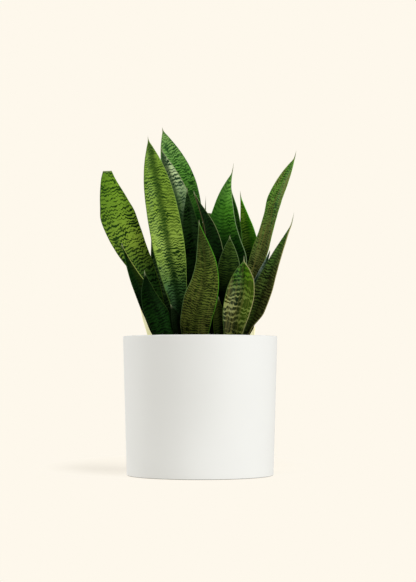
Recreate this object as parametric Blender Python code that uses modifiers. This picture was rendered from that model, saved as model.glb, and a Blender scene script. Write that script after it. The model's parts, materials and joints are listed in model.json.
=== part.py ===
"""Potted snake plant: a plain white cylinder planter, potting soil and a clump of upright leaves.

Metres, +Z up. The origin is the centre of the planter's flat underside, and the front faces -Y.
Each leaf is a solid of its own, planted in a slot in the soil that fits it with FIT_GAP all round.
"""

import math
from collections import namedtuple

import bmesh
import bpy
from mathutils import Matrix, Vector

MM = 0.001

# Planter: a turned cup with slightly tapered sides and a closed floor
POT_HEIGHT = 0.1835
POT_TOP_RADIUS = 0.1025
POT_BASE_RADIUS = 0.097
POT_WALL = 0.006
POT_FLOOR = 0.009
RIM_ROUND = 0.0012
BASE_ROUND = 0.0018
ROUND_STEPS = 3
POT_SIDES = 64

# Potting soil
SOIL_BELOW_RIM = 0.0165
SOIL_CROWN = 0.004
SOIL_RINGS = 4
SOIL_SIDES = 48

# Fits
FIT_GAP = 0.0003
WALL_TO_LEAVES = 0.020

# Leaves
PLANT_HEIGHT = 0.305
LEAF_THICKNESS = 0.0030
TIP_THICKNESS = 0.0015
THREAD_RADIUS = 0.0007
ROOT_DEPTH = 0.012
SOIL_COLLAR = 0.012
STATION_SPACING = 0.023
RIB_GROOVE = 0.12
THREAD_LIFT = 0.8
WAIST_SPREAD = 0.07
MERGE = 0.00001

# The leaf layout below is drawn for this bed radius and this height above the soil. The whole
# clump is stretched from them to the planter's real bed and to PLANT_HEIGHT.
LAYOUT_BED_RADIUS = 76 * MM
LAYOUT_HEIGHT = 305 * MM

# Where a cross-section has its points, from one margin (-1) to the other (+1)
SECTION = (-1.0, -0.56, 0.0, 0.56, 1.0)

WHITE = (0.88, 0.88, 0.86)
SOIL_BROWN = (0.045, 0.030, 0.020)
BRIGHT = (0.17, 0.31, 0.03)
OLIVE = (0.15, 0.20, 0.03)
MID_GREEN = (0.05, 0.15, 0.025)
DARK_GREEN = (0.015, 0.050, 0.015)
PALE_SHEATH = (0.55, 0.56, 0.25)

Leaf = namedtuple(
    "Leaf", "name colour path width widest neck neck_to taper waist cup turn cut_width thread"
)


def leaf(name, colour, *path, width, widest=0.5, neck=0.6, neck_to=0.0, taper=2.0, waist=(0.5, 0.0),
         cup=0.2, turn=(0, 0), cut_width=0.0, thread=5):
    """One leaf's design, in the layout's millimetres and degrees.

    path runs from the foot on the soil through the blade's middle to the tip; z is height above
    the soil. width is the blade's full width, reached at the share `widest` of its length. The
    neck is the share of that width at the foot, and is kept up to the share neck_to. A higher
    taper keeps the blade full towards its tip. waist is where the blade is pinched, as a share of
    its length, and the share of the width lost there. A positive cup turns the hollow side to the front.
    turn is how far the blade faces away from the front at its foot and at its tip. cut_width is
    the width of a trimmed top, and thread is the length of the dry thread on a pointed one.
    """
    return Leaf(
        name, colour, path, width, widest, neck, neck_to, taper, waist, cup, turn, cut_width, thread
    )


LEAVES = [
    # the tall blades
    leaf("leaf_far_left", BRIGHT, (-44, -12, 0), (-66, -16, 85), (-89.4, -19, 129), (-105.3, -20, 164),
         (-115.5, -21, 197), (-121.5, -22, 222), (-123, -22, 235), width=51.5, widest=0.74, neck=0.42,
         neck_to=0.23, taper=1.3, cup=0.12, turn=(10, 30), cut_width=13),
    leaf("leaf_tall_centre", BRIGHT, (-17, -20, 0), (-33, -24, 85), (-49.8, -28, 180), (-68.2, -34, 274),
         width=43, widest=0.52, neck=0.44, neck_to=0.1, taper=3.0, cup=0.22, turn=(12, 4), thread=6),
    leaf("leaf_tall_back", MID_GREEN, (-14, 24, 0), (-17, 29, 110), (-25, 38, 210), (-51.5, 48, 300),
         width=48.5, widest=0.65, neck=0.5, neck_to=0.1, taper=2.5, cup=0.16, turn=(5, 20)),
    leaf("leaf_tall_inner", MID_GREEN, (-24, 10, 0), (-28, 10, 100), (-29, 10, 190), (-52, 14, 268),
         width=39, widest=0.62, neck=0.5, neck_to=0.1, taper=2.0, cup=-0.2, turn=(-15, -25)),
    leaf("leaf_tall_right", MID_GREEN, (48, 1, 0), (71, 2, 98), (81, 3, 131), (93.8, 3, 175),
         (101, 2, 202), (126, 0, 255), width=26, widest=0.62, neck=0.64, taper=4.2, waist=(0.65, 0.22),
         cup=0.25, turn=(-15, -45), thread=11),
    leaf("leaf_broad_centre", MID_GREEN, (32, -8, 0), (38, -10, 100), (29.5, -12, 155),
         (34.3, -14, 208), (42.3, -16, 233), width=51.2, widest=0.5, neck=0.5, neck_to=0.05, taper=1.43,
         cup=0.14, turn=(-5, 12), thread=15),
    leaf("leaf_behind_broad", DARK_GREEN, (25.5, 11, 0), (34, 11, 90), (40.7, 10, 160), (41.5, 9, 213),
         width=42, widest=0.5, neck=0.5, taper=2.4, cup=0.16, turn=(-20, -30)),
    leaf("leaf_back_right", OLIVE, (56, 22, 0), (62, 22, 80), (66, 21, 140), (54.5, 18, 205),
         width=41, widest=0.45, neck=0.55, taper=1.5, cup=0.18, turn=(-20, -35), thread=9),
    # the dark blades in the middle
    leaf("leaf_dark_leaning", DARK_GREEN, (10, -19, 0), (17, -20, 90), (15.3, -21, 150), (-7.5, -23, 204.5),
         width=33, widest=0.45, neck=0.55, taper=1.4, cup=0.16, turn=(15, 30)),
    leaf("leaf_dark_upright", DARK_GREEN, (-4, -2, 0), (-4, -1, 90), (-11, -2, 150), (-17.5, -3, 211),
         width=32, widest=0.5, neck=0.6, taper=2.4, cup=0.16, turn=(-18, -30)),
    leaf("leaf_cut_top", DARK_GREEN, (10, 22, 0), (12, 24, 90), (13, 26, 140), (14, 28, 184),
         width=38, widest=0.5, neck=0.55, taper=2.0, cup=0.15, turn=(20, 30), cut_width=9),
    leaf("leaf_thread_tip", DARK_GREEN, (0, 12, 0), (2, 13, 80), (5, 14, 130), (7, 15, 188),
         width=27, widest=0.45, neck=0.6, taper=1.7, cup=0.18, turn=(30, 30), thread=18),
    leaf("leaf_dry_tip", DARK_GREEN, (-42, 6, 0), (-50, 6, 60), (-58, 5, 110), (-65, 4, 147),
         width=29, widest=0.45, neck=0.6, taper=1.8, cup=0.18, turn=(25, 30), thread=4),
    # the short blades in front
    leaf("leaf_low_left", DARK_GREEN, (-41.5, -27, 0), (-66.5, -30, 57), (-87.5, -33, 97), (-102, -36, 134),
         width=31, widest=0.3, neck=0.72, taper=1.45, cup=0.2, turn=(15, 35)),
    leaf("leaf_front_left", DARK_GREEN, (-40.5, -39, 0), (-51.5, -42, 36), (-65, -46, 64), (-72, -49, 97.5),
         width=32, widest=0.38, neck=0.72, taper=1.9, cup=-0.2, turn=(15, 25)),
    leaf("leaf_front_centre", OLIVE, (-6, -46, 0), (-5, -50, 40), (8, -56, 98), (-1, -60, 162),
         width=44, widest=0.3, neck=0.7, taper=1.6, cup=-0.18, turn=(4, -8)),
    leaf("leaf_mid_right", OLIVE, (34, -24, 0), (36, -27, 60), (38, -30, 103), (39, -33, 146),
         width=34, widest=0.5, neck=0.65, taper=2.7, cup=-0.18, turn=(-8, 8), thread=3),
    leaf("leaf_front_right", OLIVE, (41.5, -41, 0), (46.3, -45, 40), (54.6, -50, 78), (57, -54, 114),
         width=39, widest=0.56, neck=0.56, taper=2.5, cup=0.3, turn=(-10, -22), thread=7),
    leaf("leaf_low_right", OLIVE, (53, -19, 0), (75, -22, 55), (96, -24, 110), (120, -26, 163),
         width=29.8, widest=0.38, neck=0.28, neck_to=0.12, taper=1.32, cup=0.25, turn=(-15, -30), thread=18),
    leaf("leaf_slim_right", DARK_GREEN, (58, -9, 0), (68, -10, 50), (78.5, -12, 90), (92, -13, 128),
         width=21, widest=0.45, neck=0.7, taper=1.5, cup=0.25, turn=(-20, -35), thread=3),
    leaf("leaf_young_front", OLIVE, (30, -33, 0), (27, -35, 30), (25, -37, 48), (24, -39, 66),
         width=20, widest=0.4, neck=0.75, taper=1.8, cup=-0.2, turn=(10, 20), thread=2),
    leaf("leaf_young_left", DARK_GREEN, (-20, -36, 0), (-26, -37, 26), (-33, -39, 44), (-38, -41, 56),
         width=20, widest=0.4, neck=0.75, taper=1.8, cup=-0.2, turn=(10, 25), thread=2),
    # the far side of the clump
    leaf("leaf_rear_left", MID_GREEN, (-38, 34, 0), (-42, 44, 90), (-48, 58, 150), (-52, 72, 205),
         width=40, widest=0.5, neck=0.5, taper=2.0, cup=0.18, turn=(18, 25)),
    leaf("leaf_rear_centre", BRIGHT, (4, 44, 0), (6, 54, 70), (8, 64, 120), (9, 78, 168),
         width=38, widest=0.5, neck=0.55, taper=2.0, cup=0.2, turn=(0, -8)),
    leaf("leaf_rear_right", MID_GREEN, (44, 34, 0), (52, 44, 70), (58, 56, 120), (62, 68, 158),
         width=34, widest=0.5, neck=0.55, taper=1.8, cup=0.2, turn=(-20, -30)),
    leaf("leaf_rear_low", OLIVE, (-20, 46, 0), (-22, 58, 60), (-24, 72, 105), (-25, 88, 140),
         width=34, widest=0.5, neck=0.55, taper=1.9, cup=0.2, turn=(10, 15)),
    leaf("leaf_rear_far_right", DARK_GREEN, (60, 32, 0), (68, 38, 45), (75, 44, 80), (79, 50, 106),
         width=26, widest=0.45, neck=0.6, taper=1.8, cup=0.2, turn=(-45, -55)),
    leaf("leaf_rear_far_left", DARK_GREEN, (-58, 14, 0), (-67, 20, 40), (-75, 27, 75), (-81, 34, 102),
         width=28, widest=0.45, neck=0.6, taper=1.8, cup=0.2, turn=(45, 55)),
    # pale sheaths at the foot of the outer blades
    leaf("sheath_left", PALE_SHEATH, (-59, -20, 0), (-65, -22, 20), (-72, -24, 37), (-78, -26, 52),
         width=14, widest=0.4, neck=0.8, taper=1.6, cup=0.2, turn=(40, 50), thread=1),
    leaf("sheath_right", PALE_SHEATH, (64.6, -31, 0), (67.1, -32, 11), (69.1, -33, 20), (71.4, -34, 28),
         width=10, widest=0.4, neck=0.8, taper=1.6, cup=0.2, turn=(-40, -50), thread=1),
]


def clear_scene():
    for obj in list(bpy.data.objects):
        bpy.data.objects.remove(obj)


def new_collection(name):
    collection = bpy.data.collections.new(name)
    bpy.context.scene.collection.children.link(collection)
    return collection


def new_material(name, colour, roughness):
    material = bpy.data.materials.new(name)
    material.use_nodes = True
    shader = material.node_tree.nodes["Principled BSDF"]
    shader.inputs["Base Color"].default_value = (*colour, 1.0)
    shader.inputs["Roughness"].default_value = roughness
    shader.inputs["Metallic"].default_value = 0.0
    return material


def add_object(name, mesh, collection, material=None):
    obj = bpy.data.objects.new(name, mesh)
    collection.objects.link(obj)
    if material:
        mesh.materials.append(material)
    return obj


def outer_radius(height):
    """The planter's outer radius at a height above its underside."""
    return POT_BASE_RADIUS + (POT_TOP_RADIUS - POT_BASE_RADIUS) * height / POT_HEIGHT


def inner_radius(height):
    return outer_radius(height) - POT_WALL


def corner(centre_x, centre_z, radius, start_degrees, end_degrees):
    """Points along a rounded corner of a turned profile."""
    points = []
    for step in range(ROUND_STEPS + 1):
        angle = math.radians(start_degrees + (end_degrees - start_degrees) * step / ROUND_STEPS)
        points.append((centre_x + radius * math.cos(angle), centre_z + radius * math.sin(angle)))
    return points


def turned(name, profile, sides, collection, material):
    """A solid of revolution about Z from (radius, height) points."""
    mesh = bpy.data.meshes.new(name)
    points = [(radius, 0.0, height) for radius, height in profile]
    edges = [(index, index + 1) for index in range(len(points) - 1)]
    mesh.from_pydata(points, edges, [])
    obj = add_object(name, mesh, collection, material)
    screw = obj.modifiers.new("turn", "SCREW")
    screw.axis = "Z"
    screw.angle = math.tau
    screw.steps = sides
    screw.render_steps = sides
    screw.use_merge_vertices = True
    screw.merge_threshold = MERGE
    screw.use_smooth_shade = True
    return obj


def make_planter(collection):
    inner_floor_radius = inner_radius(POT_FLOOR)
    profile = [(0.0, POT_FLOOR), (inner_floor_radius, POT_FLOOR)]
    rim_z = POT_HEIGHT - RIM_ROUND
    profile += corner(inner_radius(POT_HEIGHT) + RIM_ROUND, rim_z, RIM_ROUND, 180, 90)
    profile += corner(POT_TOP_RADIUS - RIM_ROUND, rim_z, RIM_ROUND, 90, 0)
    profile += corner(POT_BASE_RADIUS - BASE_ROUND, BASE_ROUND, BASE_ROUND, 0, -90)
    profile.append((0.0, 0.0))
    turned("planter", profile, POT_SIDES, collection, new_material("matte_white_glaze", WHITE, 0.6))


def soil_level():
    """Height of the soil's edge, which is also the height of the leaf layout's zero."""
    return POT_HEIGHT - SOIL_BELOW_RIM


def make_soil(collection):
    level = soil_level()
    edge = inner_radius(level) - FIT_GAP
    bottom = POT_FLOOR + FIT_GAP
    profile = []
    for ring in range(SOIL_RINGS + 1):
        share = ring / SOIL_RINGS
        profile.append((edge * share, level + SOIL_CROWN * (1 - share**2)))
    profile += [(inner_radius(bottom) - FIT_GAP, bottom), (0.0, bottom)]
    material = new_material("potting_soil", SOIL_BROWN, 0.95)
    return turned("potting_soil", profile, SOIL_SIDES, collection, material)


def path_point(knots, times, time):
    """Position at a time along a smooth curve through the knots, and its direction there."""
    index = 0
    while index < len(times) - 2 and time > times[index + 1]:
        index += 1
    span = times[index + 1] - times[index]
    share = (time - times[index]) / span

    def slope(knot):
        before = max(knot - 1, 0)
        after = min(knot + 1, len(knots) - 1)
        return (knots[after] - knots[before]) / (times[after] - times[before])

    start, end = knots[index], knots[index + 1]
    start_slope, end_slope = slope(index) * span, slope(index + 1) * span
    cubed, squared = share**3, share**2
    position = (
        start * (2 * cubed - 3 * squared + 1)
        + start_slope * (cubed - 2 * squared + share)
        + end * (3 * squared - 2 * cubed)
        + end_slope * (cubed - squared)
    )
    direction = (
        start * (6 * squared - 6 * share)
        + start_slope * (3 * squared - 4 * share + 1)
        + end * (6 * share - 6 * squared)
        + end_slope * (3 * squared - 2 * share)
    )
    return position, direction.normalized()


def half_width(design, share):
    """Half of the blade's width at a share of its length above the soil."""
    end = design.cut_width / design.width
    if share < design.widest:
        rise = max(share - design.neck_to, 0.0) / (design.widest - design.neck_to)
        relative = design.neck + (1 - design.neck) * rise * rise * (3 - 2 * rise)
    else:
        fall = (share - design.widest) / (1 - design.widest)
        relative = end + (1 - end) * (1 - fall**design.taper)
    waist_at, waist_depth = design.waist
    relative *= 1 - waist_depth * math.exp(-(((share - waist_at) / WAIST_SPREAD) ** 2))
    return max(relative * design.width * MM / 2, THREAD_RADIUS)


def section_ring(design, centre, direction, share, half, thickness, grow):
    """One closed cross-section: along the front from margin to margin and back along the rear."""
    degrees = design.turn[0] + (design.turn[1] - design.turn[0]) * share
    across = Matrix.Rotation(math.radians(degrees), 3, "Z") @ Vector((1, 0, 0))
    across = (across - direction * across.dot(direction)).normalized()
    front = across.cross(direction)
    hollow = design.cup * (2.0 - 1.4 * share) * half
    middles = []
    front_points = []
    rear_points = []
    for place in SECTION:
        bow = hollow * (abs(place) ** 1.6 - 0.5)
        middle = centre + across * (half * place) + front * bow
        middles.append(middle)
        depth = (thickness / 2) * (1 - place**4) + grow
        if abs(place) == 1.0:
            front_points.append(middle)
            continue
        groove = RIB_GROOVE * thickness if place == 0.0 else 0.0
        front_points.append(middle + front * (depth - groove))
        rear_points.append(middle - front * depth)
    for margin, inside in ((0, 1), (-1, -2)):
        beyond = (middles[margin] - middles[inside]).normalized()
        front_points[margin] = front_points[margin] + beyond * (4 * grow)
    return front_points + rear_points[::-1]


def leaf_rings(design, grow=0.0, collar_only=False):
    """Cross-sections from the buried foot to the tip, and the tip's end point or None."""
    knots = [Vector(point) * MM for point in design.path]
    times = [0.0]
    for before, after in zip(knots, knots[1:]):
        times.append(times[-1] + (after - before).length)
    length = times[-1]
    foot = knots[0] - Vector((0, 0, ROOT_DEPTH + grow))
    foot_half = half_width(design, 0.0)
    rings = [section_ring(design, foot, Vector((0, 0, 1)), 0.0, foot_half, LEAF_THICKNESS, grow)]
    stations = max(6, round(length / STATION_SPACING))
    collar = SOIL_COLLAR / length
    shares = [0.0, collar]
    for step in range(1, stations + 1):
        share = 1 - (1 - step / stations) ** 1.35
        if share > 1.6 * collar:
            shares.append(share)
    if collar_only:
        shares = shares[:2]
    for share in shares:
        centre, direction = path_point(knots, times, share * length)
        if share == 0.0:
            direction = Vector((0, 0, 1))
        thickness = LEAF_THICKNESS + (TIP_THICKNESS - LEAF_THICKNESS) * share
        half = half_width(design, share)
        rings.append(section_ring(design, centre, direction, share, half, thickness, grow))
    if collar_only or design.cut_width:
        return rings, None
    upright = (direction + Vector((0, 0, THREAD_LIFT))).normalized()
    return rings, centre + upright * design.thread * MM


def stretched(point):
    """From the leaf layout to the real bed and the real plant height, above the soil."""
    bed = inner_radius(soil_level()) - WALL_TO_LEAVES
    spread = bed / LAYOUT_BED_RADIUS
    rise = PLANT_HEIGHT / LAYOUT_HEIGHT
    return Vector((point.x * spread, point.y * spread, soil_level() + point.z * rise))


def loft(name, rings, apex, collection, material=None):
    """A closed solid through the rings, ending in a point if apex is given."""
    shape = bmesh.new()
    rows = [[shape.verts.new(stretched(point)) for point in ring] for ring in rings]
    count = len(rows[0])
    for lower, upper in zip(rows, rows[1:]):
        for index in range(count):
            after = (index + 1) % count
            shape.faces.new((lower[index], lower[after], upper[after], upper[index]))
    shape.faces.new(rows[0][::-1])
    if apex is None:
        shape.faces.new(rows[-1])
    else:
        end = shape.verts.new(stretched(apex))
        for index in range(count):
            shape.faces.new((rows[-1][index], rows[-1][(index + 1) % count], end))
    bmesh.ops.recalc_face_normals(shape, faces=shape.faces)
    mesh = bpy.data.meshes.new(name)
    shape.to_mesh(mesh)
    shape.free()
    mesh.shade_smooth()
    return add_object(name, mesh, collection, material)


def make_leaf(design, parts, cutters):
    roughness = 0.7 if design.colour == PALE_SHEATH else 0.4
    material = new_material("material_" + design.name, design.colour, roughness)
    rings, apex = leaf_rings(design)
    loft(design.name, rings, apex, parts, material)
    rings, apex = leaf_rings(design, grow=FIT_GAP, collar_only=True)
    slot = loft("slot_" + design.name, rings, apex, cutters)
    slot.hide_render = True
    slot.display_type = "WIRE"


def cut_leaf_slots(soil, cutters):
    cut = soil.modifiers.new("leaf slots", "BOOLEAN")
    cut.operation = "DIFFERENCE"
    cut.solver = "EXACT"
    cut.operand_type = "COLLECTION"
    cut.collection = cutters


def main():
    clear_scene()
    parts = new_collection("potted_snake_plant")
    cutters = new_collection("cutters")
    make_planter(parts)
    soil = make_soil(parts)
    for design in LEAVES:
        make_leaf(design, parts, cutters)
    cut_leaf_slots(soil, cutters)


main()
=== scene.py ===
import json
import math
from collections import namedtuple

import bmesh
import bpy
import numpy as np
from bpy.props import FloatProperty, FloatVectorProperty, IntProperty, PointerProperty
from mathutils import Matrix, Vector

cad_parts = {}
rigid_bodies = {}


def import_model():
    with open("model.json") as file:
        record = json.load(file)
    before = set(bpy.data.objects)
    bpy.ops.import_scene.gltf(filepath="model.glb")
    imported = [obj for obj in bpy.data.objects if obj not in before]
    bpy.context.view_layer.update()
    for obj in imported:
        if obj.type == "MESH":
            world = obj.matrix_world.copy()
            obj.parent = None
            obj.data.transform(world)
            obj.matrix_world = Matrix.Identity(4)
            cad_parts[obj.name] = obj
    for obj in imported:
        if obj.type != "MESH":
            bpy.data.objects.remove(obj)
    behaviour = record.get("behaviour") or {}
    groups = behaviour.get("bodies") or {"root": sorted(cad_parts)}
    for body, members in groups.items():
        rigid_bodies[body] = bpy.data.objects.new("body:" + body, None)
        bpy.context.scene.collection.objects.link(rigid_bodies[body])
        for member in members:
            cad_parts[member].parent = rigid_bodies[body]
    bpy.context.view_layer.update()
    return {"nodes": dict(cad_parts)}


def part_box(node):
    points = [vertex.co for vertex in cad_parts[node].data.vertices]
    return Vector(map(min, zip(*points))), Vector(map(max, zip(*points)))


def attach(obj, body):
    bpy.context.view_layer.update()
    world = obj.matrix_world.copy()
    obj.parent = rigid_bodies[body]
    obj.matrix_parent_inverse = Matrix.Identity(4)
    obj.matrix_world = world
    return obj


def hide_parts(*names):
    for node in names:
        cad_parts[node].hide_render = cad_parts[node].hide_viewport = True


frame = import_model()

bl_info = {
    "name": "Potted Snake Plant",
    "version": (1, 0, 0),
    "blender": (4, 5, 0),
    "location": "View3D > Sidebar > Snake Plant",
    "description": "Builds a snake plant in a plain cylinder planter round its frame",
    "category": "Add Mesh",
}

MM = 0.001
WELD = 0.00001

# The sections of the frame's leaves: points 0 to 4 run along the front from the left margin (-1)
# to the right (+1), and 5 to 7 back behind it. A leaf is thickest at its midrib, and loses this
# power of the share across towards its margins.
SECTION = (-1.0, -0.56, 0.0, 0.56, 1.0)
SECTION_POINTS = 8
THINNING = 4

# Points this close to the planter's underside or rim belong to that end of it
END_ZONE = 3 * MM


def linear(hexcode):
    """A colour's linear values from its sRGB hex code."""
    channels = []
    for start in (0, 2, 4):
        value = int(hexcode[start:start + 2], 16) / 255
        channels.append(value / 12.92 if value <= 0.04045 else ((value + 0.055) / 1.055) ** 2.4)
    return tuple(channels)


def colour(hexcode):
    """The same as a colour socket's four values."""
    return (*linear(hexcode), 1.0)


# ---------------------------------------------------------------------------------------------
# Looks of the leaves
# ---------------------------------------------------------------------------------------------

Look = namedtuple(
    "Look",
    "light dark spacing share soft faint wander jag chevron rib rib_width streak bloom flank left right seed",
)


def look(light, dark, spacing=5.0, share=0.45, soft=0.1, faint=0.62, wander=9.0, jag=2.6, chevron=2.0,
         rib=0.35, rib_width=4.2, streak=0.0, bloom=(0, 0.0), flank=(0, "000000", 0.0), left="4E6B22",
         right="4E6B22", seed=0):
    """How one leaf is coloured.

    light and dark are the colours between and on the cross-bands, from the foot to the tip. Both darken
    towards the foot as painted shade from the clump, and some brighten in stretches as painted light.
    spacing is the distance between bands and share how much of it is dark. Their edges are soft,
    and in places the bands are only as strong as faint says. wander, jag and chevron bend them:
    slowly, in small zigzags, and in a V at the midrib (all in mm).
    rib darkens the midrib over rib_width mm each way, as painted shade of its channel, and streak draws
    lengthwise lines. bloom is the silvery wax sheen, painted reflection and partly the wax's own haze, and
    flank paints that side lighter or darker as light falls on it, as painted light and shade. Each of
    these two lies on one side (-1 left, 1 right, 0 both) with its strength. left and right colour the thin
    margins, which on some leaves are a painted highlight along the lit edge.
    """
    return Look(light.split(), dark.split(), spacing, share, soft, faint, wander, jag, chevron, rib,
                rib_width, streak, bloom, flank, left, right, seed)


# Along each leaf, the light and dark ramps darken towards the foot as painted shade from the clump, and some brighten
# in stretches as painted light
LOOKS = {
    # the tall blades
    "leaf_far_left": look(
        "0A1807 2E5A22 2E5420 8AA83A 789E30 709C28", "030A02 061604 061804 0E2807 183408 244410",
        spacing=5.0, share=0.44, soft=0.08, faint=0.9, wander=9, jag=3.4, chevron=1, rib=0.1,
        flank=(-1, "1E420C", 0.3), left="3E5A1E", right="6E8E2E", seed=1),
    "leaf_tall_centre": look(
        "122A0E 1C3816 2E5228 46703A 86A648 9EBE52 90B044 86A83C 86AC3E 84AA3E 8AB04A",
        "030E03 061A06 122C0C 284614 264414 284816",
        spacing=3.9, share=0.48, wander=8, jag=2.6, chevron=4, rib=0.78, rib_width=8, bloom=(-1, 0.08),
        left="5E7E36", right="7A9C44", seed=2),
    "leaf_tall_back": look(
        "142A0C 16300C 0E2606 1C4810 629E3E 8AB266", "061404 081A06 0A2406 0E3008 163E12 2A5224",
        spacing=3.8, share=0.52, wander=8, jag=2.6, chevron=-3, rib=0.1, left="6A8A4A", right="2E5A14", seed=3),
    "leaf_tall_inner": look(
        "142A0E 182F12 22401E 2C4A24 2E4C28 36562E 86A86A E2FABC 86B274", "081A06 0E220A 12280E 1E3E1A 24462A 1A3A1E",
        spacing=4.8, share=0.5, faint=0.4, wander=9, jag=3, rib=0.75, rib_width=5.5, bloom=(1, 0.2),
        flank=(-1, "0E2A0C", 0.85), left="3E5E34", right="94A276", seed=4),
    "leaf_tall_right": look(
        "1A2C0E 5A682E 7C8A48 6A8C40 6AA63E 5EA032", "061204 061404 0E1C06 203814 1E4A12 184812",
        spacing=3.4, share=0.5, soft=0.13, faint=0.9, wander=10, jag=3.4, rib=0.2, streak=0.85,
        left="7EA444", right="76A83A", seed=5),
    "leaf_broad_centre": look(
        "081A06 0A1E05 0A2005 14360C 4E8C28 84C058", "030C02 020B02 020D02 041803 144208 2E6420",
        spacing=4.8, share=0.5, wander=7, jag=2.4, chevron=-5, rib=0.35, flank=(-1, "103410", 0.55), left="3C7A22",
        right="84A070", seed=6),
    "leaf_behind_broad": look(
        "0A1C06 0E2606 224A0C 30601A", "030C02 051604 0A2604 123410", spacing=4.4, share=0.5,
        right="5A8A3A", seed=7),
    "leaf_back_right": look(
        "081606 101E08 122406 5A7E28 86C02C", "030A02 061404 081604 20420C 3A7A10",
        spacing=3.6, share=0.45, wander=5, jag=1.8, rib=0.2, flank=(1, "44A80C", 0.5), right="62C41C", seed=8),
    # the blades in the middle, coloured darker than their green as painted shade deep in the clump
    "leaf_dark_leaning": look(
        "040E03 0A1E08 0E240A 10280A", "010501 010401 010401 010601", spacing=4.6, rib=0.2,
        left="564E36", right="7C8A5A", seed=9),
    "leaf_dark_upright": look(
        "040E03 0C2208 1C3814 2C4A24", "010601 010801 010B01 020F02", spacing=4.6, rib=0.2,
        left="26401A", right="3A5A28", seed=10),
    "leaf_cut_top": look(
        "050F04 0C1E08 1A3810 3A5C26", "020A02 041004 0A2006 1A3412", spacing=4.6, left="2C5A1A", seed=11),
    "leaf_thread_tip": look(
        "050F04 0A1A06 16300E 2A4A1C", "020A02 040E04 081C06 142E0E", spacing=4.6, seed=12),
    "leaf_dry_tip": look(
        "050F04 1E3014 527040 16300E", "020A02 081806 12280E 0A2006", spacing=4.6, seed=13),
    # the short blades in front
    "leaf_low_left": look(
        "081804 0A2606 0A2406 0E2A06", "020A02 010A01 000800 010A01", spacing=4.2, share=0.5, rib=0.2,
        flank=(1, "7C8E34", 0.05), left="2A4A1A", right="A8B45A", seed=14),
    "leaf_front_left": look(
        "16300E 163610 0C2406 041404", "010801 010701 000400 000300", spacing=4.0, share=0.5, rib=0.3,
        left="20381A", right="3E5624", seed=15),
    "leaf_front_centre": look(
        "3B4618 4A5620 5A682A 5C6E2A 465826 3E5220", "060E02 060F02 0E1C06 1A280A 1C2A0C 1C2A0C",
        spacing=3.2, share=0.54, faint=0.85, wander=6, jag=1.8, chevron=-3, rib=0.4, streak=0.15,
        left="6A8A52", right="4E9A22", seed=16),
    "leaf_mid_right": look(
        "020601 020801 030901 344A1A 3E5822", "000200 010301 010502 0C1C08 14260A",
        spacing=3.2, share=0.48, wander=5, jag=1.5, chevron=-2, rib=0.3, left="5A7646", right="6E8656", seed=17),
    "leaf_front_right": look(
        "34441A 929A58 AEB670 567A28 4CA018", "061204 081804 081C04 0C2806 103A06",
        spacing=6.2, share=0.62, soft=0.14, faint=0.95, wander=12, jag=3.4, rib=0.4, streak=0.5, bloom=(-1, 0.12),
        flank=(1, "72A41E", 0.5), left="5E7A3A", right="B8B47C", seed=18),
    "leaf_low_right": look(
        "020C02 34481A 52662E 4C7230 6A983E", "000600 020A01 040F03 0A1E08 1C420E",
        spacing=4.0, share=0.55, faint=0.7, wander=6, jag=2, rib=0.3, streak=0.06, flank=(1, "6E6A38", 0.3),
        left="4A6A44", right="B4AE74", seed=19),
    "leaf_slim_right": look(
        "0A1C0A 16300F 24401A 2A4A22", "020C03 061606 0C220C 143014", spacing=4.6, rib=0.1,
        bloom=(-1, 0.8), left="9AB0A8", right="2A4A2A", seed=20),
    "leaf_young_front": look(
        "0A1606 2A3816 3C481C 353E1A", "020802 061202 081802 020A00", spacing=3.2, wander=4, jag=1.4, seed=21),
    "leaf_young_left": look(
        "030A02 0A1606 13200E 1C2C16", "010401 010801 020A02 040E04", spacing=3.2, wander=4, jag=1.4,
        left="1E2C1A", right="1E2C1A", seed=22),
    # the far side of the clump
    "leaf_rear_left": look(
        "0E200A 203C12 3E6A20 5A8A34 6A9C40", "040E04 0A1C06 143408 204410 2A5016", spacing=4.6, chevron=-3, seed=23),
    "leaf_rear_centre": look(
        "1A300E 48662A 7C9A3C 86A840 7A9E38", "061206 122608 284414 324E18 2E4A14", spacing=4.4, chevron=3, seed=24),
    "leaf_rear_right": look(
        "0E200A 1E3A10 3A6A1E 527E2E 5E8E3A", "040E04 0A1C06 12300A 1C400E 264A14", spacing=4.8, chevron=-3, seed=25),
    "leaf_rear_low": look(
        "142209 3A4A1C 5E7230 66803A 56702E", "060C03 10200A 203010 2A3E16 243812", spacing=3.6, wander=6, seed=26),
    "leaf_rear_far_right": look(
        "081606 10260A 1C3A14 2E4C20", "020A02 041004 06180A 0E260E", spacing=4.4, seed=27),
    "leaf_rear_far_left": look(
        "081606 10260A 1C3A14 2E4C20", "020A02 041004 06180A 0E260E", spacing=4.4, seed=28),
}


# ---------------------------------------------------------------------------------------------
# Settings
# ---------------------------------------------------------------------------------------------


class PlanterSettings(bpy.types.PropertyGroup):
    glaze: FloatVectorProperty(
        name="Glaze", description="Colour of the matte glaze", subtype="COLOR", size=3,
        default=linear("F2F5F6"), min=0, max=1)
    # the bare clay's colour is dark so that it stands as painted shade along the base's contact line
    foot: FloatVectorProperty(
        name="Foot", description="Colour of the bare clay under the planter", subtype="COLOR", size=3,
        default=linear("77736A"), min=0, max=1)
    rim_round: FloatProperty(
        name="Rim Round", description="Radius of the rim's two edges", unit="LENGTH",
        default=1.3 * MM, min=0, max=3 * MM)
    base_round: FloatProperty(
        name="Base Round", description="Radius of the outer edge at the base", unit="LENGTH",
        default=1.6 * MM, min=0, max=5 * MM)
    turns: IntProperty(name="Sides", description="Flat sides that one full turn is drawn with", default=192, min=24)


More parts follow.
